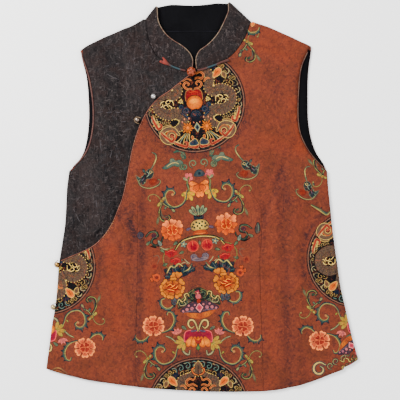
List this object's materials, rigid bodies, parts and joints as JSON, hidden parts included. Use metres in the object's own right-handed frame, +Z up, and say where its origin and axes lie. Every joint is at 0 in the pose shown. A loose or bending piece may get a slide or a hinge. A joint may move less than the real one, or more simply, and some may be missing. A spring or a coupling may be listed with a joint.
{
  "type": "waistcoat",
  "caption": "Sleeveless waistcoat laid flat, with a stand collar, a curved side-lapping printed front over a dark yoke, piped edges, a frog at the neck and ball buttons.",
  "frame": {"origin": "bottom centre of the whole garment's bounding box, on the surface it lies on", "axes": "+Y from the hem up to the collar, +X to the wearer's left, +Z up off the surface"},
  "size_m": [0.5314, 0.6638, 0.0193],
  "materials": {
    "printed_silk": "matte",
    "dark_brocade": "satin",
    "black_lining": "matte",
    "piping": "satin",
    "frog_strip": "satin",
    "knot_cord": "satin",
    "silver_button": "polished",
    "bronze_button": "polished",
    "gold_button": "polished",
    "loop_cord": "satin"
  },
  "bodies": {
    "root": {"left_front": "printed_silk", "right_front": "dark_brocade", "back_shell": "printed_silk", "back_lining": "black_lining", "collar_outer": "dark_brocade", "collar_lining": "black_lining", "collar_piping": "piping", "lapel_piping": "piping", "armhole_piping_left": "piping", "armhole_piping_right": "piping", "frog_leg_left": "frog_strip", "frog_leg_right": "frog_strip", "knot_button": "knot_cord", "ball_button_1": "silver_button", "ball_button_2": "bronze_button", "ball_button_3": "gold_button", "ball_button_4": "gold_button", "button_loop_1": "loop_cord", "button_loop_2": "loop_cord", "button_loop_3": "loop_cord", "button_loop_4": "loop_cord"}
  },
  "joints": []
}
